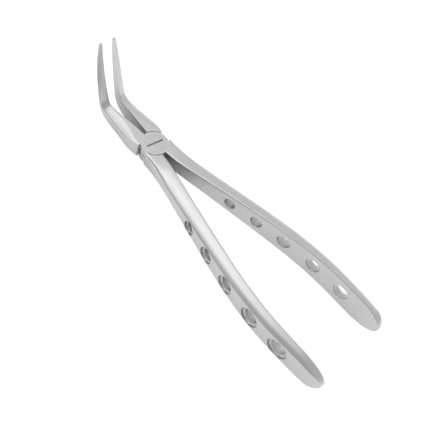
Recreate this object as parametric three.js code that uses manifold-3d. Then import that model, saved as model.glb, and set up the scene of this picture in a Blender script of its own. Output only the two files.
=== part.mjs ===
// Root-tip extraction forceps: two crossing steel levers on a lap joint, held by one slotted pivot screw.
// Millimetres, +Z up along the pivot axis, +Y towards the beak tips, +X towards the upper lever's handle.
// The origin is on the pivot axis, in the plane of the joint's flat underside.
// The levers are modelled about the joint's middle plane and are lifted into place at the end.
import * as THREE from 'three';
import { mergeVertices } from 'three/addons/utils/BufferGeometryUtils.js';
import Module from 'manifold-3d';

// ---- Driving dimensions ----
const JOINT_THICKNESS = 8.4;
const MID_PLANE = JOINT_THICKNESS / 2;
const LAP_GAP = 0.3;
const PLATE_RADIUS = 6.7;
const RECESS_RADIUS = 7.0;

const SCREW_HEAD_RADIUS = 4.7;
const SCREW_HEAD_HEIGHT = 1.6;
const SCREW_SHANK_RADIUS = 2.4;
const SCREW_CLEARANCE = 0.3;
const SLOT_WIDTH = 1.0;
const SLOT_DEPTH = 0.9;
const SLOT_LENGTH = 8.6;
const SLOT_TURN = -6.6;

const HANDLE_LENGTH = 128.4;
const HANDLE_END_ROUND = 15;
const HANDLE_END_POWER = 2;
const HANDLE_END_TAPER = 9;
const HANDLE_END_THICKNESS = 0.45;
const HANDLE_END_HEIGHT = 0.12;
const HANDLE_EDGE = 0.8;

// The handle section's hump between the flat inner face and the outer facet. Each point is a share of the
// thickness and the share it has come down of the step from the inner face's height to the facet's.
const HANDLE_HUMP = [[0.35, 0.11], [0.66, 0.34], [0.88, 0.68]];
// The hump is flat at the joint, starts to rise here and has its full shape here.
const HUMP_START = 7;
const HUMP_FULL = 24;

// Handle stations, from the joint to the end. y is the distance from the pivot axis, inner the offset of
// the flat inner face, then the thickness, the inner face's height and the outer facet's height.
const HANDLE_STATIONS = [
  { y: 3, inner: 0.55, thick: 7.2, high: 8.4, facet: 7.8 },
  { y: 7, inner: 0.9, thick: 7.25, high: 8.4, facet: 6.8 },
  { y: 13, inner: 1.6, thick: 7.5, high: 8.4, facet: 5.2 },
  { y: 20, inner: 3.1, thick: 7.4, high: 8.9, facet: 4.7 },
  { y: 32, inner: 6.0, thick: 7.0, high: 10.1, facet: 5.4 },
  { y: 46, inner: 9.3, thick: 6.6, high: 11.7, facet: 6.7 },
  { y: 62, inner: 12.9, thick: 6.2, high: 13.2, facet: 8.2 },
  { y: 78, inner: 16.0, thick: 5.8, high: 14.4, facet: 9.4 },
  { y: 94, inner: 17.9, thick: 5.3, high: 15.3, facet: 10.2 },
  { y: 110, inner: 18.3, thick: 4.7, high: 15.8, facet: 10.6 },
  { y: HANDLE_LENGTH, inner: 18.0, thick: 3.9, high: 15.9, facet: 10.8 },
];

// Graded through holes of each handle, flared to an oval mouth on the outer facet.
const HOLES = [
  { y: 43.8, bore: 5.6, flareLong: 7.0, flareHigh: 7.2 },
  { y: 58.2, bore: 6.0, flareLong: 8.1, flareHigh: 8.4 },
  { y: 73.1, bore: 6.8, flareLong: 9.0, flareHigh: 9.6 },
  { y: 89.6, bore: 7.1, flareLong: 9.6, flareHigh: 10.2 },
  { y: 106, bore: 7.5, flareLong: 10.3, flareHigh: 10.8 },
];
const FLARE_DEPTH = 1.6;
// The mouth's dished floor: shares of its depth and of its widening.
const FLARE_DISH = [[0, 0], [0.12, 0.7], [0.4, 0.93], [1, 1]];

// Beak stations, from the joint to the tip. top and bottom are points of the beak's side view (y, z), inner
// and outer its faces' offsets, and cut the share of the width that its outer corners lose.
const BEAK_STATIONS = [
  { top: [3.4, 4.2], bottom: [3.4, -4.2], inner: 0.35, outer: 7.35, cut: 0.05 },
  { top: [7.5, 4.2], bottom: [7.5, -4.2], inner: 1, outer: 8.25, cut: 0.1 },
  { top: [13, 4.2], bottom: [13, -4.2], inner: 1.45, outer: 8.3, cut: 0.18 },
  { top: [19, 4.1], bottom: [19, -4.2], inner: 2.1, outer: 7.8, cut: 0.25 },
  { top: [24.5, 4.0], bottom: [25.2, -4.0], inner: 2.6, outer: 7.3, cut: 0.28 },
  { top: [28.2, 4.2], bottom: [30.6, -2.0], inner: 2.9, outer: 7.2, cut: 0.3 },
  { top: [30.2, 5.4], bottom: [33.4, 1.7], inner: 3, outer: 7.2, cut: 0.32 },
  { top: [31.5, 8.2], bottom: [34.9, 7.0], inner: 3.05, outer: 7.1, cut: 0.34 },
  { top: [33.7, 14.6], bottom: [36.5, 13.8], inner: 3.05, outer: 6.8, cut: 0.36 },
  { top: [35.7, 21.6], bottom: [37.8, 21.0], inner: 3.05, outer: 6.4, cut: 0.36 },
  { top: [37.3, 28.5], bottom: [38.85, 28.2], inner: 3, outer: 5.6, cut: 0.36 },
  { top: [38.6, 35.2], bottom: [39.35, 35.1], inner: 2.95, outer: 4.55, cut: 0.36 },
];

// The beak section's outer corner, in shares of the cut: how far back from the outer face and how far down.
const BEAK_FACET = [[2.6, 0], [1.4, 0.5], [0.2, 1.15], [0, 1.4]];
const BEAK_FACET_LIMIT = 0.42;
const BEAK_CORNER = 0.05;

const ROUND_SEGMENTS = 48;
const HOLE_SEGMENTS = 24;
const CUTTER_REACH = 60;
const STEEL = { color: 0xc3c5c6, roughness: 0.32, metalness: 1.0 };
const SCREW_STEEL = { color: 0xbfc1c3, roughness: 0.36, metalness: 1.0 };

const wasm = await Module();
wasm.setup();

// ---- Solids ----
function toSolid(geometry) {
  const bare = geometry.index ? geometry.toNonIndexed() : geometry.clone();
  bare.deleteAttribute('normal');
  bare.deleteAttribute('uv');
  const merged = mergeVertices(bare, 1e-4);
  return new wasm.Manifold(new wasm.Mesh({
    numProp: 3,
    vertProperties: new Float32Array(merged.attributes.position.array),
    triVerts: new Uint32Array(merged.index.array),
  }));
}

function toGeometry(solid) {
  const mesh = solid.getMesh();
  const geometry = new THREE.BufferGeometry();
  geometry.setAttribute('position', new THREE.BufferAttribute(mesh.vertProperties, 3));
  geometry.setIndex(new THREE.BufferAttribute(mesh.triVerts, 1));
  const flat = geometry.toNonIndexed();
  flat.computeVertexNormals();
  return flat;
}

// Joins closed rings of equal point counts with quads and closes both ends with fans.
function loft(rings) {
  const count = rings[0].length;
  const points = [];
  const middle = (ring) => ring.reduce((sum, p) => sum.add(p), new THREE.Vector3()).divideScalar(count);
  const triangle = (a, b, c) => points.push(a, b, c);
  for (let i = 0; i + 1 < rings.length; i++) {
    for (let j = 0; j < count; j++) {
      const k = (j + 1) % count;
      triangle(rings[i][j], rings[i][k], rings[i + 1][k]);
      triangle(rings[i][j], rings[i + 1][k], rings[i + 1][j]);
    }
  }
  const first = middle(rings[0]);
  const last = middle(rings.at(-1));
  for (let j = 0; j < count; j++) {
    const k = (j + 1) % count;
    triangle(first, rings[0][k], rings[0][j]);
    triangle(last, rings.at(-1)[j], rings.at(-1)[k]);
  }
  const volume = points.reduce((sum, p, i) => {
    return i % 3 ? sum : sum + p.dot(new THREE.Vector3().crossVectors(points[i + 1], points[i + 2]));
  }, 0);
  if (volume < 0) {
    for (let i = 0; i < points.length; i += 3) {
      [points[i], points[i + 1]] = [points[i + 1], points[i]];
    }
  }
  return new THREE.BufferGeometry().setFromPoints(points);
}

// An upright cylinder between two heights, on the pivot axis.
function upright(radius, low, high) {
  const cylinder = new THREE.CylinderGeometry(radius, radius, high - low, ROUND_SEGMENTS);
  cylinder.rotateX(Math.PI / 2);
  cylinder.translate(0, 0, (low + high) / 2);
  return toSolid(cylinder);
}

function block(xLow, xHigh, yLow, yHigh, zLow, zHigh) {
  const box = new THREE.BoxGeometry(xHigh - xLow, yHigh - yLow, zHigh - zLow);
  box.translate((xLow + xHigh) / 2, (yLow + yHigh) / 2, (zLow + zHigh) / 2);
  return toSolid(box);
}

// ---- Handle, drawn on the +X side and reaching towards -Y ----
const handlePath = new THREE.CatmullRomCurve3(
  HANDLE_STATIONS.map((s) => new THREE.Vector3(s.inner, -s.y, 0)), false, 'centripetal');
const handleSize = new THREE.CatmullRomCurve3(
  HANDLE_STATIONS.map((s) => new THREE.Vector3(s.thick, s.high, s.facet)), false, 'catmullrom');

// The handle's height shrinks to a rounded tongue over its last stretch.
function endRounding(y) {
  const into = Math.max(0, (y - (HANDLE_LENGTH - HANDLE_END_ROUND)) / HANDLE_END_ROUND);
  return Math.pow(Math.max(0, 1 - Math.pow(into, HANDLE_END_POWER)), 1 / HANDLE_END_POWER);
}

// Its outer face turns in towards the inner face at the very end.
function endTaper(y) {
  const into = Math.max(0, (y - (HANDLE_LENGTH - HANDLE_END_TAPER)) / HANDLE_END_TAPER);
  return HANDLE_END_THICKNESS + (1 - HANDLE_END_THICKNESS) * Math.sqrt(Math.max(0, 1 - into * into));
}

function handleFrame(t) {
  const place = handlePath.getPoint(t);
  const along = handlePath.getTangent(t).normalize();
  const outward = new THREE.Vector3(-along.y, along.x, 0);
  return { place, outward };
}

function handleRing(t) {
  const { place, outward } = handleFrame(t);
  const size = handleSize.getPoint(t);
  const round = Math.max(HANDLE_END_HEIGHT, endRounding(-place.y));
  const thick = size.x * endTaper(-place.y);
  const half = size.y / 2 * round;
  const facet = Math.min(size.z / 2, half - 0.25 * HANDLE_EDGE);
  const drop = half - facet;
  const edge = Math.min(HANDLE_EDGE, half / 3);
  const rise = THREE.MathUtils.smoothstep(-place.y, HUMP_START, HUMP_FULL);
  const upper = [
    [0, half - edge],
    [edge, half],
    ...HANDLE_HUMP.map(([share, down]) => [share * thick, half - down * drop * rise]),
    [thick - edge / 2, facet],
    [thick, facet - edge / 2],
  ];
  const lower = upper.map(([n, z]) => [n, -z]).reverse();
  return [...upper, ...lower].map(([n, z]) => {
    return place.clone().addScaledVector(outward, n).add(new THREE.Vector3(0, 0, z));
  });
}

function handleSolid() {
  const straightSteps = 22;
  const endSteps = 9;
  const endStart = 0.9;
  const parameters = [];
  for (let i = 0; i < straightSteps; i++) {
    parameters.push(endStart * i / straightSteps);
  }
  for (let i = 0; i <= endSteps; i++) {
    parameters.push(endStart + (1 - endStart) * Math.sin(Math.PI / 2 * i / endSteps));
  }
  return toSolid(loft(parameters.map(handleRing)));
}

// Curve parameter at which the handle's path is a given distance from the pivot axis.
function parameterAt(distance) {
  let low = 0;
  let high = 1;
  for (let i = 0; i < 40; i++) {
    const middle = (low + high) / 2;
    if (-handlePath.getPoint(middle).y < distance) {
      low = middle;
    } else {
      high = middle;
    }
  }
  return (low + high) / 2;
}

// One hole's cutter: a round bore square to the inner face, with an oval flare at the outer facet.
function holeCutter(hole) {
  const t = parameterAt(hole.y);
  const { place, outward } = handleFrame(t);
  const thick = handleSize.getPoint(t).x;
  const reach = 2;
  const along = new THREE.Vector3(-outward.y, outward.x, 0);
  const steps = [
    [-reach, hole.bore, hole.bore],
    ...FLARE_DISH.map(([rise, wide]) => [
      thick - FLARE_DEPTH * (1 - rise),
      THREE.MathUtils.lerp(hole.bore, hole.flareLong, wide),
      THREE.MathUtils.lerp(hole.bore, hole.flareHigh, wide),
    ]),
    [thick + reach, hole.flareLong + reach, hole.flareHigh + reach],
  ];
  const rings = steps.map(([depth, long, high]) => {
    const ring = [];
    for (let i = 0; i < HOLE_SEGMENTS; i++) {
      const angle = 2 * Math.PI * i / HOLE_SEGMENTS;
      ring.push(place.clone()
        .addScaledVector(outward, depth)
        .addScaledVector(along, long / 2 * Math.cos(angle))
        .add(new THREE.Vector3(0, 0, high / 2 * Math.sin(angle))));
    }
    return ring;
  });
  return toSolid(loft(rings));
}

// ---- Beak, drawn on the -X side and reaching towards +Y, then bent upwards ----
function beakSolid() {
  const stations = BEAK_STATIONS;
  const curve = (pick) => new THREE.CatmullRomCurve3(stations.map(pick), false, 'catmullrom');
  const top = curve((s) => new THREE.Vector3(0, ...s.top));
  const bottom = curve((s) => new THREE.Vector3(0, ...s.bottom));
  const width = curve((s) => new THREE.Vector3(s.inner, s.outer, s.cut));
  const steps = 2 * (stations.length - 1);
  const rings = [];
  for (let i = 0; i <= steps; i++) {
    const t = i / steps;
    const high = top.getPoint(t);
    const low = bottom.getPoint(t);
    const { x: inner, y: outer, z: cut } = width.getPoint(t);
    const span = outer - inner;
    const slant = span / high.distanceTo(low);
    const upper = [
      [inner, 1 - BEAK_CORNER],
      [inner + BEAK_CORNER * span, 1],
      ...BEAK_FACET.map(([back, down]) => {
        return [outer - back * cut * span, 1 - Math.min(BEAK_FACET_LIMIT, down * cut * slant)];
      }),
    ];
    const lower = upper.map(([x, s]) => [x, 1 - s]).reverse();
    rings.push([...upper, ...lower].map(([x, s]) => {
      const point = low.clone().lerp(high, s);
      point.x = -x;
      return point;
    }));
  }
  return toSolid(loft(rings));
}

// ---- Levers ----
// The upper lever: half-thickness plate above the middle plane, beak on -X, handle on +X.
// The lower lever is its mirror image in X, with its plate below the middle plane.
function leverSolid(isUpper) {
  const side = isUpper ? 1 : -1;
  const plateFace = side * LAP_GAP / 2;
  const plateOuter = side * MID_PLANE;
  const cutReach = -side * CUTTER_REACH;
  const span = (a, b) => [Math.min(a, b), Math.max(a, b)];
  let body = HOLES.map(holeCutter).reduce((solid, cutter) => solid.subtract(cutter), handleSolid());
  body = body.add(beakSolid());
  if (!isUpper) {
    body = body.scale([-1, 1, 1]);
  }
  return body
    .subtract(upright(RECESS_RADIUS, ...span(plateFace, cutReach)))
    .add(upright(PLATE_RADIUS, ...span(plateFace, plateOuter)));
}

function upperLever() {
  const headSeat = MID_PLANE - SCREW_HEAD_HEIGHT - SCREW_CLEARANCE;
  return leverSolid(true)
    .subtract(upright(SCREW_SHANK_RADIUS + SCREW_CLEARANCE, -CUTTER_REACH, CUTTER_REACH))
    .subtract(upright(SCREW_HEAD_RADIUS + SCREW_CLEARANCE, headSeat, CUTTER_REACH));
}

function lowerLever() {
  return leverSolid(false)
    .subtract(upright(SCREW_SHANK_RADIUS + SCREW_CLEARANCE, -CUTTER_REACH, CUTTER_REACH));
}

// A flush round head with one straight slot, on a shank that ends flush with the underside.
function pivotScrew() {
  const slotFloor = MID_PLANE - SLOT_DEPTH;
  const slot = block(-SLOT_LENGTH / 2, SLOT_LENGTH / 2, -SLOT_WIDTH / 2, SLOT_WIDTH / 2,
    slotFloor, MID_PLANE + 1);
  return upright(SCREW_HEAD_RADIUS, MID_PLANE - SCREW_HEAD_HEIGHT, MID_PLANE)
    .add(upright(SCREW_SHANK_RADIUS, -MID_PLANE, MID_PLANE - SCREW_HEAD_HEIGHT))
    .subtract(slot.rotate([0, 0, SLOT_TURN]));
}

function steelMesh(name, solid, finish) {
  const mesh = new THREE.Mesh(toGeometry(solid), new THREE.MeshStandardMaterial(finish));
  mesh.name = name;
  return mesh;
}

// ---- Assembly ----
const forceps = new THREE.Group();
forceps.position.z = MID_PLANE;
forceps.add(
  steelMesh('lower_lever', lowerLever(), STEEL),
  steelMesh('upper_lever', upperLever(), STEEL),
  steelMesh('pivot_screw', pivotScrew(), SCREW_STEEL),
);

export default forceps;
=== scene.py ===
import math

import bmesh
import bpy
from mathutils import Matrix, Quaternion, Vector


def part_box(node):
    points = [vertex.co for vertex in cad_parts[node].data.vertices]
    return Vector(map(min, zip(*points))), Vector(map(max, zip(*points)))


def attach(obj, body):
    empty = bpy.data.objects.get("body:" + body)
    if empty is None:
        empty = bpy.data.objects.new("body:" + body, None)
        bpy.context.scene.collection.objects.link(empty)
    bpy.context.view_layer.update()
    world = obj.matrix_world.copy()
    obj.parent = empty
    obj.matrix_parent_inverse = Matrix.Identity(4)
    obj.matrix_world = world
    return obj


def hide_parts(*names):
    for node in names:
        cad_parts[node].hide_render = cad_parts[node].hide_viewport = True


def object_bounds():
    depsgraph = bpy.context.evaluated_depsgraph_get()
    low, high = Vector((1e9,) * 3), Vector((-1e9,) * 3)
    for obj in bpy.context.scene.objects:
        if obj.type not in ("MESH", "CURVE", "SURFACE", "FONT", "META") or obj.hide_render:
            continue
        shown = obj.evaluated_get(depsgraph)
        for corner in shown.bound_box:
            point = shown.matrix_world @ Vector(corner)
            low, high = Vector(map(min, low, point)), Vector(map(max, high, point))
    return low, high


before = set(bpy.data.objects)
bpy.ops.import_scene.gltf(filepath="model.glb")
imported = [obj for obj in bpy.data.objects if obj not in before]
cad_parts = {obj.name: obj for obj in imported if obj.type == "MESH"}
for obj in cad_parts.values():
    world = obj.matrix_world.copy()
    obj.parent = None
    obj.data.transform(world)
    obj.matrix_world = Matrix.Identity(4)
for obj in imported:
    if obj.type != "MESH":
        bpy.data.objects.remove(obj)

bl_info = {
    "name": "Extraction forceps",
    "version": (1, 0, 0),
    "blender": (4, 5, 0),
    "location": "3D View > Sidebar > Forceps",
    "description": "Models satin steel root-tip extraction forceps around their pivot",
    "category": "Add Mesh",
}

# ---- The frame's own sizes, in millimetres ----
MM = 0.001
CAD_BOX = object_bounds()
SCREW_LOW, SCREW_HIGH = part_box("pivot_screw")
JOINT_THICKNESS = (SCREW_HIGH.z - SCREW_LOW.z) / MM
MID_PLANE = (SCREW_HIGH.z + SCREW_LOW.z) / 2 / MM
HALF_JOINT = JOINT_THICKNESS / 2
# Keeps the smooth skin just inside the frame's faceted one.
SKIN_PLAY = 0.06
HANDLE_LENGTH = -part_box("upper_lever")[0].y / MM - SKIN_PLAY
FLOOR_HEIGHT = CAD_BOX[0][2]

# Handle stations from the joint to the end, in millimetres: distance from the pivot axis, offset of the flat
# inner face, thickness, height of the inner face and height of the outer facet.
HANDLE_STATIONS = (
    (3, 0.55, 7.2, 8.4, 7.8),
    (7, 0.9, 7.25, 8.4, 6.8),
    (13, 1.6, 7.5, 8.4, 5.2),
    (20, 3.1, 7.4, 8.9, 4.7),
    (32, 6.0, 7.0, 10.1, 5.4),
    (46, 9.3, 6.6, 11.7, 6.7),
    (62, 12.9, 6.2, 13.2, 8.2),
    (78, 16.0, 5.8, 14.4, 9.4),
    (94, 17.9, 5.3, 15.3, 10.2),
    (110, 18.3, 4.7, 15.8, 10.6),
    (HANDLE_LENGTH, 18.0, 3.9, 15.9, 10.8),
)
# The hump between the flat inner face and the outer facet: shares of the thickness, and of the step down from
# the inner face's height to the facet's. The hump starts at one distance from the pivot axis and is full at
# the other, so the handle stays flat beside the joint.
HANDLE_HUMP = ((0.35, 0.11), (0.66, 0.34), (0.88, 0.68))
HUMP_START = 7
HUMP_FULL = 24
HANDLE_EDGE = 0.8
# The handle's end: over its last stretches the height closes to a rounded tongue and the outer face turns in,
# down to these shares of the full height and thickness.
HANDLE_END_ROUND = 15
HANDLE_END_POWER = 2
HANDLE_END_HEIGHT = 0.06
HANDLE_END_TAPER = 9
HANDLE_END_THICKNESS = 0.45
# Rings along the handle, closer together over the last share of its stations.
HANDLE_STEPS = 96
HANDLE_END_STEPS = 22
HANDLE_END_START = 0.9
HANDLE_TANGENT_STEP = 0.01
HANDLE_SEARCH_STEPS = 40

# Through holes of each handle: distance from the pivot axis, bore, and the oval mouth's length and height.
HOLES = (
    (43.8, 5.6, 7.0, 7.2),
    (58.2, 6.0, 8.1, 8.4),
    (73.1, 6.8, 9.0, 9.6),
    (89.6, 7.1, 9.6, 10.2),
    (106, 7.5, 10.3, 10.8),
)
FLARE_DEPTH = 1.6
# The mouth's dished floor: shares of its depth and of its widening.
FLARE_DISH = ((0, 0), (0.03, 0.3), (0.12, 0.7), (0.22, 0.84), (0.4, 0.93), (0.7, 0.98), (1, 1))
# The rounded rim on the inner face.
HOLE_RIM = 0.4
HOLE_RIM_STEPS = 6
HOLE_POINTS = 64
HOLE_REACH = 2

# Beak stations from the joint to the tip: top and bottom points (y, z) of the side view, offsets of the inner
# and outer faces, and the share of the width that its outer corners lose.
BEAK_STATIONS = (
    (3.4, 4.2, 3.4, -4.2, 0.35, 7.35, 0.05),
    (7.5, 4.2, 7.5, -4.2, 1, 8.25, 0.1),
    (13, 4.2, 13, -4.2, 1.45, 8.3, 0.18),
    (19, 4.1, 19, -4.2, 2.1, 7.8, 0.25),
    (24.5, 4.0, 25.2, -4.0, 2.6, 7.3, 0.28),
    (28.2, 4.2, 30.6, -2.0, 2.9, 7.2, 0.3),
    (30.2, 5.4, 33.4, 1.7, 3, 7.2, 0.32),
    (31.5, 8.2, 34.9, 7.0, 3.05, 7.1, 0.34),
    (33.7, 14.6, 36.5, 13.8, 3.05, 6.8, 0.36),
    (35.7, 21.6, 37.8, 21.0, 3.05, 6.4, 0.36),
    (37.3, 28.5, 38.85, 28.2, 3, 5.6, 0.36),
    (38.6, 35.2, 39.35, 35.1, 2.95, 4.55, 0.36),
)
# The section's outer corners, in shares of the cut: how far back from the outer face and how far down. The
# way down is at most a share of the depth. Each corner has its own reach of rounding.
BEAK_FACET = ((2.6, 0), (1.4, 0.5), (0.2, 1.15), (0, 1.4))
BEAK_FACET_LIMIT = 0.42
BEAK_FACET_SOFT = (9, 9, 0.3, 0.2)
# The rounding of the inner face's edges, at most a share of the depth.
BEAK_EDGE = 0.12
BEAK_EDGE_LIMIT = 0.2
BEAK_TIP_ROUND = 0.5
BEAK_TIP_STEPS = 6
# The square of the share that the rounded tip's last ring keeps of the section.
BEAK_TIP_LEAST = 0.02
BEAK_STEPS = 8

CORNER_STEPS = 5
EDGE_STEPS = 4
ROUND_POINTS = 128
CUTTER_REACH = 20
BORE_REACH = 3 * HALF_JOINT
# Clearance round the screw's shank and under its head, and the fine chamfer on its edges.
SCREW_CLEARANCE = 0.1
SCREW_CHAMFER = 0.05
MERGE_DISTANCE = 0.002
SMOOTH_ANGLE = 28


# ---- Properties ----
class ForcepsSizes(bpy.types.PropertyGroup):
    """Sizes of the joint and its edges."""

    plate_radius: bpy.props.FloatProperty(
        name="Plate radius", description="Radius of each lever's half of the lap joint",
        default=6.78 * MM, unit="LENGTH", precision=5)
    recess_radius: bpy.props.FloatProperty(
        name="Recess radius", description="Radius of the recess that the other lever's plate turns in",
        default=7.0 * MM, unit="LENGTH", precision=5)
    lap_gap: bpy.props.FloatProperty(
        name="Lap gap", description="Gap between the two plates",
        default=0.3 * MM, unit="LENGTH", precision=5)
    edge_round: bpy.props.FloatProperty(
        name="Edge round", description="Rounding of the joint's cut edges",
        default=0.16 * MM, unit="LENGTH", precision=5)
    head_radius: bpy.props.FloatProperty(
        name="Screw head radius", description="Radius of the pivot screw's flush head",
        default=4.7 * MM, unit="LENGTH", precision=5)
    head_height: bpy.props.FloatProperty(
        name="Screw head height", description="Height of the pivot screw's head",
        default=1.6 * MM, unit="LENGTH", precision=5)
    head_gap: bpy.props.FloatProperty(
        name="Screw head gap", description="Hairline gap round the pivot screw's head",
        default=0.015 * MM, unit="LENGTH", precision=5)
    shank_radius: bpy.props.FloatProperty(
        name="Screw shank radius", description="Radius of the pivot screw's hidden shank",
        default=2.4 * MM, unit="LENGTH", precision=5)
    slot_width: bpy.props.FloatProperty(
        name="Slot width", description="Width of the screwdriver slot",
        default=1.0 * MM, unit="LENGTH", precision=5)
    slot_depth: bpy.props.FloatProperty(
        name="Slot depth", description="Depth of the screwdriver slot",
        default=0.9 * MM, unit="LENGTH", precision=5)
    slot_length: bpy.props.FloatProperty(
        name="Slot length", description="Length of the screwdriver slot",
        default=8.6 * MM, unit="LENGTH", precision=5)
    slot_turn: bpy.props.FloatProperty(
        name="Slot turn", description="Turn of the slot about the pivot axis",
        default=math.radians(-6.6), unit="ROTATION")


class ForcepsFinish(bpy.types.PropertyGroup):
    """Colours of the steel and of the stage."""

    lever_colour: bpy.props.FloatVectorProperty(
        name="Lever steel", description="Colour of the levers' satin steel",
        default=(0.56, 0.56, 0.56), subtype="COLOR", min=0, max=1)
    screw_colour: bpy.props.FloatVectorProperty(
        name="Screw steel", description="Colour of the pivot screw's steel",
        default=(0.55, 0.55, 0.55), subtype="COLOR", min=0, max=1)
    grain: bpy.props.FloatProperty(
        name="Grain", description="Size of the blasted grain", default=0.22 * MM, unit="LENGTH", precision=5)
    floor_colour: bpy.props.FloatVectorProperty(
        name="Floor", description="Colour of the pale floor",
        default=(0.9, 0.9, 0.9), subtype="COLOR", min=0, max=1)


def sizes():
    return bpy.context.scene.forceps_sizes


def finish():
    return bpy.context.scene.forceps_finish


# ---- Modelling helpers: every ring and length here is in millimetres about the joint's middle plane ----
def deselect_all():
    if bpy.context.object and bpy.context.object.mode != "OBJECT":
        bpy.ops.object.mode_set(mode="OBJECT")
    bpy.ops.object.select_all(action="DESELECT")


def pick(piece):
    """Makes a piece the only selected and the active object."""
    deselect_all()
    piece.select_set(True)
    bpy.context.view_layer.objects.active = piece


def place_ring(body, ring):
    """Moves the selected ring of points to its station."""
    mesh = bmesh.from_edit_mesh(body.data)
    number = mesh.verts.layers.int["ring_point"]
    for vertex in mesh.verts:
        if vertex.select:
            vertex.co = ring[vertex[number]] * MM
    bmesh.update_edit_mesh(body.data)


def skin(name, rings):
    """A closed body: a filled circle that is extruded from each ring of points to the next."""
    count = len(rings[0])
    deselect_all()
    bpy.ops.mesh.primitive_circle_add(vertices=count, radius=MM, fill_type="NGON")
    body = bpy.context.object
    body.name = name
    body.data.name = name
    number = body.data.attributes.new("ring_point", "INT", "POINT")
    number.data.foreach_set("value", list(range(count)))
    bpy.ops.object.mode_set(mode="EDIT")
    bpy.ops.mesh.select_all(action="SELECT")
    place_ring(body, rings[0])
    for ring in rings[1:]:
        bpy.ops.mesh.extrude_region_move(TRANSFORM_OT_translate={"value": (0, 0, 0)})
        place_ring(body, ring)
    bpy.ops.mesh.select_all(action="SELECT")
    bpy.ops.mesh.normals_make_consistent(inside=False)
    bpy.ops.object.mode_set(mode="OBJECT")
    body.data.attributes.remove(body.data.attributes["ring_point"])
    return body


def full_turn(count):
    """Evenly spaced angles once round."""
    return [2 * math.pi * i / count for i in range(count)]


def quarter_turn(steps):
    """Angles from 0 to a right angle."""
    return [i / steps * math.pi / 2 for i in range(steps + 1)]


def turned(name, profile):
    """A turned body on the pivot axis, from (radius, height) pairs."""
    turns = full_turn(ROUND_POINTS)
    return skin(name, [
        [Vector((radius * math.cos(turn), radius * math.sin(turn), height)) for turn in turns]
        for radius, height in profile
    ])


def combine(body, tool, operation):
    """Joins a tool to a body or cuts it out of the body, and removes the tool."""
    pick(body)
    bpy.ops.object.modifier_add(type="BOOLEAN")
    step = body.modifiers[-1]
    step.operation = operation
    step.object = tool
    step.solver = "MANIFOLD"
    bpy.ops.object.modifier_apply(modifier=step.name)
    bpy.data.meshes.remove(tool.data)


def through(points, t):
    """A smooth curve through evenly numbered points, at t from 0 to the last point's number."""
    last = len(points) - 1
    i = min(int(t), last - 1)
    s = t - i
    p1, p2 = points[i], points[i + 1]
    p0 = points[i - 1] if i > 0 else [2 * a - b for a, b in zip(p1, p2)]
    p3 = points[i + 2] if i + 2 <= last else [2 * b - a for a, b in zip(p1, p2)]
    values = []
    for a, b, c, d in zip(p0, p1, p2, p3):
        start, end = (c - a) / 2, (d - b) / 2
        values.append(b + s * start + s * s * (3 * (c - b) - 2 * start - end)
                      + s ** 3 * (2 * (b - c) + start + end))
    return values


def soft_corners(points, radii):
    """A line through 2-D points whose inner corners are rounded, each from its own radius away."""
    line = [points[0]]
    for before, corner, after, radius in zip(points, points[1:], points[2:], radii):
        first = before - corner
        second = after - corner
        reach = min(radius, first.length / 2, second.length / 2)
        enter = corner + first.normalized() * reach
        leave = corner + second.normalized() * reach
        for i in range(CORNER_STEPS + 1):
            s = i / CORNER_STEPS
            line.append(enter * (1 - s) ** 2 + corner * 2 * s * (1 - s) + leave * s * s)
    line.append(points[-1])
    return line


# ---- Handle, on the +X side ----
def handle_frame(t):
    """A point of the handle's inner face, the outward direction and the section's sizes at t."""
    y, inner, thick, high, facet = through(HANDLE_STATIONS, t)
    y_next, inner_next = through(HANDLE_STATIONS, t + HANDLE_TANGENT_STEP)[:2]
    outward = Vector((y_next - y, inner_next - inner, 0)).normalized()
    return Vector((inner, -y, 0)), outward, thick, high, facet


def handle_ring(t):
    """The handle's section: flat inner face, hump and outer facet, the same above and below."""
    place, outward, thick, high, facet = handle_frame(t)
    into = max(0, 1 - (HANDLE_LENGTH + place.y) / HANDLE_END_ROUND)
    high *= max(HANDLE_END_HEIGHT, (1 - min(1, into) ** HANDLE_END_POWER) ** (1 / HANDLE_END_POWER))
    into_taper = max(0, 1 - (HANDLE_LENGTH + place.y) / HANDLE_END_TAPER)
    thick *= HANDLE_END_THICKNESS + (1 - HANDLE_END_THICKNESS) * math.sqrt(max(0, 1 - into_taper ** 2))
    thick -= SKIN_PLAY
    half = high / 2
    edge = min(HANDLE_EDGE, half / 3)
    rise = min(1, max(0, (-place.y - HUMP_START) / (HUMP_FULL - HUMP_START)))
    rise *= rise * (3 - 2 * rise)
    facet = min(facet / 2, half - edge / 4)
    drop = half - facet
    corners = [Vector((0, half))]
    corners += [Vector((share * thick, half - down * drop * rise)) for share, down in HANDLE_HUMP]
    corners += [Vector((thick, facet))]
    radii = [edge, thick, thick, thick, edge]
    upper = soft_corners([Vector((0, 0)), *corners, Vector((thick, 0))], radii)
    lower = [Vector((p.x, -p.y)) for p in reversed(upper[1:-1])]
    return [place + outward * p.x + Vector((0, 0, p.y)) for p in upper + lower]


def handle_body():
    """The solid handle, its rings closer together where the end rounds off."""
    last = len(HANDLE_STATIONS) - 1
    steps = [HANDLE_END_START * i / HANDLE_STEPS for i in range(HANDLE_STEPS)]
    steps += [HANDLE_END_START + (1 - HANDLE_END_START) * math.sin(math.pi / 2 * i / HANDLE_END_STEPS)
              for i in range(HANDLE_END_STEPS + 1)]
    return skin("handle", [handle_ring(step * last) for step in steps])


def handle_parameter(distance):
    """Where along the handle the inner face is a given distance from the pivot axis."""
    low, high = 0, len(HANDLE_STATIONS) - 1
    for _ in range(HANDLE_SEARCH_STEPS):
        middle = (low + high) / 2
        if through(HANDLE_STATIONS, middle)[0] < distance:
            low = middle
        else:
            high = middle
    return low


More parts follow.
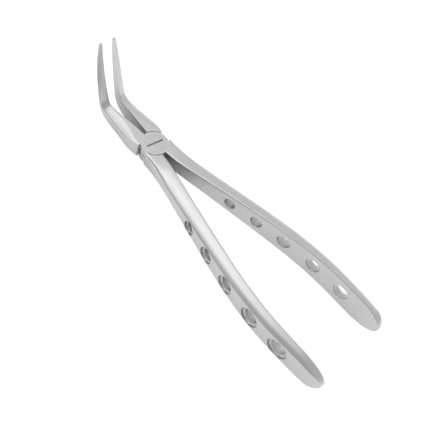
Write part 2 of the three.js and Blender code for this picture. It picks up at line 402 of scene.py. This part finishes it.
def hole_cutter(distance, bore, mouth_long, mouth_high):
    """A bore square to the inner face, with a rounded rim there and a flared oval mouth outside."""
    place, outward, thick, _, _ = handle_frame(handle_parameter(distance))
    along = Vector((-outward.y, outward.x, 0))
    entry = bore + 2 * HOLE_RIM + 2 * HOLE_REACH
    sections = [(-HOLE_REACH, entry, entry)]
    for turn in quarter_turn(HOLE_RIM_STEPS):
        wide = bore + 2 * HOLE_RIM * (1 - math.sin(turn))
        sections.append((HOLE_RIM * (1 - math.cos(turn)), wide, wide))
    for up, wide in FLARE_DISH:
        sections.append((thick - FLARE_DEPTH * (1 - up),
                         bore + (mouth_long - bore) * wide, bore + (mouth_high - bore) * wide))
    sections.append((thick + HOLE_REACH, mouth_long + 2 * HOLE_REACH, mouth_high + 2 * HOLE_REACH))
    rings = []
    for depth, long, high in sections:
        rings.append([
            place + outward * depth + along * (long / 2 * math.cos(turn))
            + Vector((0, 0, high / 2 * math.sin(turn)))
            for turn in full_turn(HOLE_POINTS)
        ])
    return skin("hole_cutter", rings)


# ---- Beak, on the -X side ----
def beak_ring(t):
    """The beak's section at t, with cut outer corners and a soft edge on the inner face."""
    top_y, top_z, low_y, low_z, inner, outer, cut = through(BEAK_STATIONS, t)
    top, low = Vector((0, top_y, top_z)), Vector((0, low_y, low_z))
    end_top = Vector((0, *BEAK_STATIONS[-1][:2]))
    span = outer - inner
    deep = (top - low).length
    corners = [Vector((inner, deep))]
    for back, down in BEAK_FACET:
        fall = min(BEAK_FACET_LIMIT * deep, down * cut * span)
        corners.append(Vector((outer - back * cut * span, deep - fall)))
    edge = min(BEAK_EDGE, BEAK_EDGE_LIMIT * deep)
    upper = soft_corners([Vector((inner, deep / 2)), *corners, Vector((outer, deep / 2))],
                         [edge, *BEAK_FACET_SOFT])
    lower = [Vector((p.x, deep - p.y)) for p in reversed(upper[1:-1])]
    to_tip = (end_top - top).length
    size = math.sqrt(max(BEAK_TIP_LEAST, 1 - max(0, 1 - to_tip / BEAK_TIP_ROUND) ** 2))
    centre = Vector(((inner + outer) / 2, deep / 2))
    ring = []
    for p in upper + lower:
        p = centre + (p - centre) * size
        ring.append(low + (top - low) * (p.y / deep) - Vector((p.x, 0, 0)))
    return ring


def beak_body():
    """The solid beak, its rings closer together where the tip rounds off."""
    last = len(BEAK_STATIONS) - 1
    steps = [i / BEAK_STEPS for i in range(last * BEAK_STEPS)]
    tip_span = (Vector(BEAK_STATIONS[last][:2]) - Vector(BEAK_STATIONS[last - 1][:2])).length
    tip_start = last - BEAK_TIP_ROUND / tip_span
    steps = [t for t in steps if t < tip_start]
    steps += [tip_start + (last - tip_start) * math.sin(math.pi / 2 * i / BEAK_TIP_STEPS)
              for i in range(BEAK_TIP_STEPS + 1)]
    return skin("beak", [beak_ring(t) for t in steps])


# ---- Levers ----
def rounded_disc(name, radius, low, high, top_round):
    """An upright disc with one rounded rim, on its top or bottom."""
    e = sizes().edge_round / MM
    arc = quarter_turn(EDGE_STEPS)
    if top_round:
        profile = [(radius, low)]
        profile += [(radius - e + e * math.cos(a), high - e + e * math.sin(a)) for a in arc]
    else:
        profile = [(radius - e + e * math.cos(a), low + e - e * math.sin(a)) for a in reversed(arc)]
        profile += [(radius, high)]
    return turned(name, profile)


def flared_cutter(radius, low, face, flare, upwards):
    """An upright cutter from inside a lever out through its face, which leaves a rounded edge there."""
    side = 1 if upwards else -1
    arc = quarter_turn(EDGE_STEPS)
    profile = [(radius, low)]
    profile += [(radius + flare - flare * math.cos(a), face - side * flare * (1 - math.sin(a)))
                for a in arc]
    profile += [(radius + flare + CUTTER_REACH, face + side * CUTTER_REACH)]
    return turned("cutter", profile)


def forging():
    """A handle with its holes, joined to a beak."""
    body = handle_body()
    for hole in HOLES:
        combine(body, hole_cutter(*hole), "DIFFERENCE")
    combine(body, beak_body(), "UNION")
    return body


def lever(is_upper):
    """One lever: the forging, its half of the lap joint and its recess for the other half."""
    side = 1 if is_upper else -1
    given = sizes()
    gap = given.lap_gap / MM
    body = forging()
    if not is_upper:
        pick(body)
        bpy.ops.object.mode_set(mode="EDIT")
        bpy.ops.mesh.select_all(action="SELECT")
        bpy.ops.transform.resize(value=(-1, 1, 1), center_override=(0, 0, 0))
        bpy.ops.mesh.normals_make_consistent(inside=False)
        bpy.ops.object.mode_set(mode="OBJECT")
    combine(body, flared_cutter(given.recess_radius / MM, side * gap / 2, -side * HALF_JOINT,
                                given.edge_round / MM, not is_upper), "DIFFERENCE")
    low, high = sorted((side * gap / 2, side * HALF_JOINT))
    combine(body, rounded_disc("plate", given.plate_radius / MM, low, high, is_upper), "UNION")
    bore = given.shank_radius / MM + SCREW_CLEARANCE
    combine(body, turned("bore", [(bore, -BORE_REACH), (bore, BORE_REACH)]), "DIFFERENCE")
    if is_upper:
        seat = HALF_JOINT - given.head_height / MM - SCREW_CLEARANCE
        wide = (given.head_radius + given.head_gap) / MM
        combine(body, turned("seat", [(wide, seat), (wide, BORE_REACH)]), "DIFFERENCE")
    return body


def settle(piece, name, node, body, material):
    """Lifts a finished piece to its place in the frame, names it and lets it ride on its body."""
    pick(piece)
    bpy.ops.object.mode_set(mode="EDIT")
    bpy.ops.mesh.select_all(action="SELECT")
    bpy.ops.mesh.remove_doubles(threshold=MERGE_DISTANCE * MM)
    bpy.ops.transform.translate(value=(0, 0, MID_PLANE * MM))
    bpy.ops.object.mode_set(mode="OBJECT")
    bpy.ops.object.shade_smooth_by_angle(angle=math.radians(SMOOTH_ANGLE))
    bpy.ops.object.modifier_add(type="WEIGHTED_NORMAL")
    step = piece.modifiers[-1]
    step.keep_sharp = True
    bpy.ops.object.modifier_apply(modifier=step.name)
    piece.name = name
    piece.data.name = name
    piece.data.materials.clear()
    piece.data.materials.append(material)
    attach(piece, body)
    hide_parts(node)


# ---- Materials ----
LEVER_ROUGHNESS = 0.36
SCREW_ROUGHNESS = 0.38
# The blasted grain's relief.
GRAIN_STRENGTH = 0.4
GRAIN_RELIEF = 0.02 * MM
GRAIN_DETAIL = 3.0
GRAIN_SOFTNESS = 0.6
# Lengthwise polish streaks: how far the grain is stretched along Y, its scale and its share in the mix.
STREAK_STRETCH = (1, 0.08, 1)
STREAK_SCALE = 1400
STREAK_DETAIL = 2.0
STREAK_SHARE = 0.4
# Faint clouds in the colour, and the play in the roughness.
CLOUD_SCALE = 90
CLOUD_DETAIL = 2.0
CLOUD_TONE = (0.93, 1.05)
ROUGHNESS_PLAY = 0.06


def group_socket(group, name, direction, kind, value=None):
    """Adds a socket to a node group, with a default where it takes one."""
    socket = group.interface.new_socket(name=name, in_out=direction, socket_type=kind)
    if value is not None:
        socket.default_value = value


def satin_grain():
    """Node group: fine blasted grain with soft lengthwise polish, as colour, roughness and height."""
    name = "satin_grain"
    if name in bpy.data.node_groups:
        return bpy.data.node_groups[name]
    group = bpy.data.node_groups.new(name, "ShaderNodeTree")
    group_socket(group, "Colour", "INPUT", "NodeSocketColor", (0.56, 0.56, 0.56, 1))
    group_socket(group, "Grain size", "INPUT", "NodeSocketFloat", 0.0002)
    group_socket(group, "Roughness", "INPUT", "NodeSocketFloat", 0.35)
    group_socket(group, "Colour", "OUTPUT", "NodeSocketColor")
    group_socket(group, "Roughness", "OUTPUT", "NodeSocketFloat")
    group_socket(group, "Height", "OUTPUT", "NodeSocketFloat")
    nodes, links = group.nodes, group.links
    given = nodes.new("NodeGroupInput")
    out = nodes.new("NodeGroupOutput")
    place = nodes.new("ShaderNodeTexCoord")
    rate = nodes.new("ShaderNodeMath")
    rate.operation = "DIVIDE"
    rate.inputs[0].default_value = 1.0
    links.new(given.outputs["Grain size"], rate.inputs[1])
    grain = nodes.new("ShaderNodeTexNoise")
    grain.inputs["Detail"].default_value = GRAIN_DETAIL
    grain.inputs["Roughness"].default_value = GRAIN_SOFTNESS
    links.new(place.outputs["Object"], grain.inputs["Vector"])
    links.new(rate.outputs[0], grain.inputs["Scale"])
    stretch = nodes.new("ShaderNodeMapping")
    stretch.inputs["Scale"].default_value = STREAK_STRETCH
    links.new(place.outputs["Object"], stretch.inputs["Vector"])
    streaks = nodes.new("ShaderNodeTexNoise")
    streaks.inputs["Scale"].default_value = STREAK_SCALE
    streaks.inputs["Detail"].default_value = STREAK_DETAIL
    links.new(stretch.outputs["Vector"], streaks.inputs["Vector"])
    cloud = nodes.new("ShaderNodeTexNoise")
    cloud.inputs["Scale"].default_value = CLOUD_SCALE
    cloud.inputs["Detail"].default_value = CLOUD_DETAIL
    links.new(place.outputs["Object"], cloud.inputs["Vector"])
    mixed = nodes.new("ShaderNodeMix")
    mixed.data_type = "FLOAT"
    mixed.inputs["Factor"].default_value = STREAK_SHARE
    links.new(grain.outputs["Fac"], mixed.inputs[2])
    links.new(streaks.outputs["Fac"], mixed.inputs[3])
    tone = nodes.new("ShaderNodeMapRange")
    tone.inputs["To Min"].default_value = CLOUD_TONE[0]
    tone.inputs["To Max"].default_value = CLOUD_TONE[1]
    links.new(cloud.outputs["Fac"], tone.inputs["Value"])
    scaled = nodes.new("ShaderNodeVectorMath")
    scaled.operation = "SCALE"
    links.new(given.outputs["Colour"], scaled.inputs[0])
    links.new(tone.outputs["Result"], scaled.inputs["Scale"])
    links.new(scaled.outputs["Vector"], out.inputs["Colour"])
    rough = nodes.new("ShaderNodeMapRange")
    rough.inputs["To Min"].default_value = -ROUGHNESS_PLAY
    rough.inputs["To Max"].default_value = ROUGHNESS_PLAY
    links.new(mixed.outputs[0], rough.inputs["Value"])
    add = nodes.new("ShaderNodeMath")
    add.operation = "ADD"
    links.new(given.outputs["Roughness"], add.inputs[0])
    links.new(rough.outputs["Result"], add.inputs[1])
    links.new(add.outputs[0], out.inputs["Roughness"])
    links.new(mixed.outputs[0], out.inputs["Height"])
    return group


def steel(name, colour, roughness):
    """Satin steel with its own colour and roughness."""
    material = bpy.data.materials.new(name)
    material.use_nodes = True
    nodes, links = material.node_tree.nodes, material.node_tree.links
    shader = nodes["Principled BSDF"]
    shader.inputs["Metallic"].default_value = 1.0
    grain = nodes.new("ShaderNodeGroup")
    grain.node_tree = satin_grain()
    grain.inputs["Colour"].default_value = (*colour, 1)
    grain.inputs["Grain size"].default_value = finish().grain
    grain.inputs["Roughness"].default_value = roughness
    bump = nodes.new("ShaderNodeBump")
    bump.inputs["Strength"].default_value = GRAIN_STRENGTH
    bump.inputs["Distance"].default_value = GRAIN_RELIEF
    links.new(grain.outputs["Colour"], shader.inputs["Base Color"])
    links.new(grain.outputs["Roughness"], shader.inputs["Roughness"])
    links.new(grain.outputs["Height"], bump.inputs["Height"])
    links.new(bump.outputs["Normal"], shader.inputs["Normal"])
    return material


# ---- Stage ----
FLOOR_SIZE = 3.0
FLOOR_GLOW = 0.36
# The floor's glow fades out in an oval under the gaps between the levers, in metres: a painted shadow of the
# levers, cut into the glow that the steel reflects.
FLOOR_PAINTED_SHADOW_CENTRE = (-0.003, 0.015)
FLOOR_PAINTED_SHADOW_REACH = (0.011, 0.05)
FLOOR_PAINTED_SHADOW_INNER = 0.5
FLOOR_PAINTED_SHADOW_OUTER = 1.1
# The floor's own glow as the camera sees it, and its share in the mix.
FLOOR_SEEN_GLOW = 1.15
FLOOR_SEEN_SHARE = 0.8
FLOOR_ROUGHNESS = 0.9
FLOOR_SPECULAR = 0.1
# The studio's surround: its dim and bright side, and the direction of the bright side.
WORLD_DIM = 0.52
WORLD_BRIGHT = 0.92
WORLD_BRIGHT_SIDE = (0.9, 0.4, 0.0)
# Soft boxes, in metres and watts: name, place, the point aimed at, size and power.
SOFT_LIGHTS = (
    ("top_box", (-0.06, 0.38, 0.85), (0, 0, 0), 0.8, 2.15),
)
CAMERA_PLACE = (-0.1325, -0.1159, 0.2287)
CAMERA_AIM = (0.004145, -0.041546, -0.004093)
CAMERA_ROLL = 22.18
CAMERA_LENS = 50.23
CAMERA_SENSOR = 36
CAMERA_CLIP_START = 0.01


def lay_floor():
    """The pale floor, as low as the frame's lowest point, its glow dimmed by a painted shadow under the
    levers.
    """
    deselect_all()
    bpy.ops.mesh.primitive_plane_add(size=FLOOR_SIZE, location=(0, 0, FLOOR_HEIGHT))
    floor = bpy.context.object
    floor.name = "floor"
    material = bpy.data.materials.new("floor_white")
    material.use_nodes = True
    nodes, links = material.node_tree.nodes, material.node_tree.links
    shader = nodes["Principled BSDF"]
    shader.inputs["Base Color"].default_value = (*finish().floor_colour, 1)
    shader.inputs["Roughness"].default_value = FLOOR_ROUGHNESS
    shader.inputs["Specular IOR Level"].default_value = FLOOR_SPECULAR
    shader.inputs["Emission Color"].default_value = (1, 1, 1, 1)
    # Painted shadow: the floor's glow is dimmed to nothing in an oval under the gaps between the levers.
    place = nodes.new("ShaderNodeTexCoord")
    shadow_oval = nodes.new("ShaderNodeMapping")
    shadow_oval.vector_type = "TEXTURE"
    shadow_oval.inputs["Location"].default_value = (*FLOOR_PAINTED_SHADOW_CENTRE, 0)
    shadow_oval.inputs["Scale"].default_value = (*FLOOR_PAINTED_SHADOW_REACH, 1)
    links.new(place.outputs["Object"], shadow_oval.inputs["Vector"])
    shadow_distance = nodes.new("ShaderNodeVectorMath")
    shadow_distance.operation = "LENGTH"
    links.new(shadow_oval.outputs["Vector"], shadow_distance.inputs[0])
    # rise is the glow with its painted shadow: none inside the oval, the full glow outside it.
    rise = nodes.new("ShaderNodeMapRange")
    rise.interpolation_type = "SMOOTHSTEP"
    rise.inputs["From Min"].default_value = FLOOR_PAINTED_SHADOW_INNER
    rise.inputs["From Max"].default_value = FLOOR_PAINTED_SHADOW_OUTER
    rise.inputs["To Max"].default_value = FLOOR_GLOW
    links.new(shadow_distance.outputs["Value"], rise.inputs["Value"])
    links.new(rise.outputs["Result"], shader.inputs["Emission Strength"])
    glow = nodes.new("ShaderNodeEmission")
    glow.inputs["Strength"].default_value = FLOOR_SEEN_GLOW
    path = nodes.new("ShaderNodeLightPath")
    share = nodes.new("ShaderNodeMath")
    share.operation = "MULTIPLY"
    share.inputs[1].default_value = FLOOR_SEEN_SHARE
    mix = nodes.new("ShaderNodeMixShader")
    links.new(path.outputs["Is Camera Ray"], share.inputs[0])
    links.new(share.outputs[0], mix.inputs["Fac"])
    links.new(shader.outputs["BSDF"], mix.inputs[1])
    links.new(glow.outputs["Emission"], mix.inputs[2])
    links.new(mix.outputs["Shader"], nodes["Material Output"].inputs["Surface"])
    floor.data.materials.append(material)


def light_world():
    """A plain surround that brightens towards one side."""
    world = bpy.data.worlds.new("studio")
    bpy.context.scene.world = world
    world.use_nodes = True
    nodes, links = world.node_tree.nodes, world.node_tree.links
    place = nodes.new("ShaderNodeTexCoord")
    side = nodes.new("ShaderNodeVectorMath")
    side.operation = "DOT_PRODUCT"
    side.inputs[1].default_value = Vector(WORLD_BRIGHT_SIDE).normalized()
    glow = nodes.new("ShaderNodeMapRange")
    glow.inputs["From Min"].default_value = -1.0
    glow.inputs["To Min"].default_value = WORLD_DIM
    glow.inputs["To Max"].default_value = WORLD_BRIGHT
    links.new(place.outputs["Generated"], side.inputs[0])
    links.new(side.outputs["Value"], glow.inputs["Value"])
    nodes["Background"].inputs["Color"].default_value = (1, 1, 1, 1)
    links.new(glow.outputs["Result"], nodes["Background"].inputs["Strength"])
    bpy.context.scene.view_settings.view_transform = "Standard"


def hang_light(name, place, aim, size, power):
    """A square soft box that faces its aim."""
    bpy.ops.object.light_add(type="AREA", location=place)
    lamp = bpy.context.object
    lamp.name = name
    lamp.data.size = size
    lamp.data.energy = power
    lamp.rotation_euler = (Vector(aim) - Vector(place)).to_track_quat("-Z", "Y").to_euler()


def set_camera():
    """The camera, turned about its own line of sight by the roll."""
    bpy.ops.object.camera_add(location=CAMERA_PLACE)
    camera = bpy.context.object
    camera.name = "camera"
    look = (Vector(CAMERA_AIM) - Vector(CAMERA_PLACE)).to_track_quat("-Z", "Y")
    camera.rotation_euler = (look @ Quaternion((0, 0, 1), math.radians(CAMERA_ROLL))).to_euler()
    camera.data.lens = CAMERA_LENS
    camera.data.sensor_width = CAMERA_SENSOR
    camera.data.clip_start = CAMERA_CLIP_START
    bpy.context.scene.camera = camera


# ---- Operators ----
class FORCEPS_OT_upper_lever(bpy.types.Operator):
    """Model the upper lever: the left beak, the right handle and the joint's top plate"""

    bl_idname = "forceps.upper_lever"
    bl_label = "Upper lever"

    def execute(self, context):
        settle(lever(True), "upper_lever_steel", "upper_lever", "upper_lever",
               steel("upper_lever_satin", finish().lever_colour, LEVER_ROUGHNESS))
        return {"FINISHED"}


class FORCEPS_OT_lower_lever(bpy.types.Operator):
    """Model the lower lever: the right beak, the left handle and the joint's bottom plate"""

    bl_idname = "forceps.lower_lever"
    bl_label = "Lower lever"

    def execute(self, context):
        settle(lever(False), "lower_lever_steel", "lower_lever", "lower_lever",
               steel("lower_lever_satin", finish().lever_colour, LEVER_ROUGHNESS))
        return {"FINISHED"}


class FORCEPS_OT_pivot_screw(bpy.types.Operator):
    """Model the pivot screw: a flush slotted head on a hidden shank"""

    bl_idname = "forceps.pivot_screw"
    bl_label = "Pivot screw"

    def execute(self, context):
        given = sizes()
        head = given.head_radius / MM
        neck = HALF_JOINT - given.head_height / MM
        shank = given.shank_radius / MM
        e = SCREW_CHAMFER
        screw = turned("screw", [
            (shank - e, -HALF_JOINT), (shank, -HALF_JOINT + e), (shank, neck), (head - e, neck),
            (head, neck + e), (head, HALF_JOINT - e), (head - e, HALF_JOINT)])
        deselect_all()
        bpy.ops.mesh.primitive_cube_add(
            size=1, location=(0, 0, (HALF_JOINT + 1 - (given.slot_depth / MM + 1) / 2) * MM),
            scale=(given.slot_length, given.slot_width, given.slot_depth + MM),
            rotation=(0, 0, given.slot_turn))
        slot = bpy.context.object
        bpy.ops.object.transform_apply(location=True, rotation=True, scale=True)
        combine(screw, slot, "DIFFERENCE")
        settle(screw, "pivot_screw_steel", "pivot_screw", "lower_lever",
               steel("screw_satin", finish().screw_colour, SCREW_ROUGHNESS))
        return {"FINISHED"}


class FORCEPS_OT_stage(bpy.types.Operator):
    """Lay the pale floor, the soft studio lights and the camera"""

    bl_idname = "forceps.stage"
    bl_label = "Stage"

    def execute(self, context):
        lay_floor()
        light_world()
        for name, place, aim, size, power in SOFT_LIGHTS:
            hang_light(name, place, aim, size, power)
        set_camera()
        return {"FINISHED"}


# ---- Panel and registration ----
class FORCEPS_PT_panel(bpy.types.Panel):
    """Lists the steps that make the forceps"""

    bl_label = "Forceps"
    bl_idname = "FORCEPS_PT_panel"
    bl_space_type = "VIEW_3D"
    bl_region_type = "UI"
    bl_category = "Forceps"

    def draw(self, context):
        for step in STEPS:
            self.layout.operator(step.bl_idname)


STEPS = (FORCEPS_OT_upper_lever, FORCEPS_OT_lower_lever, FORCEPS_OT_pivot_screw, FORCEPS_OT_stage)
CLASSES = (ForcepsSizes, ForcepsFinish, *STEPS, FORCEPS_PT_panel)


def register():
    for each in CLASSES:
        bpy.utils.register_class(each)
    bpy.types.Scene.forceps_sizes = bpy.props.PointerProperty(type=ForcepsSizes)
    bpy.types.Scene.forceps_finish = bpy.props.PointerProperty(type=ForcepsFinish)


def unregister():
    del bpy.types.Scene.forceps_finish
    del bpy.types.Scene.forceps_sizes
    for each in reversed(CLASSES):
        bpy.utils.unregister_class(each)


def main():
    register()
    bpy.ops.forceps.upper_lever()
    bpy.ops.forceps.lower_lever()
    bpy.ops.forceps.pivot_screw()
    bpy.ops.forceps.stage()


if __name__ == "__main__":
    main()
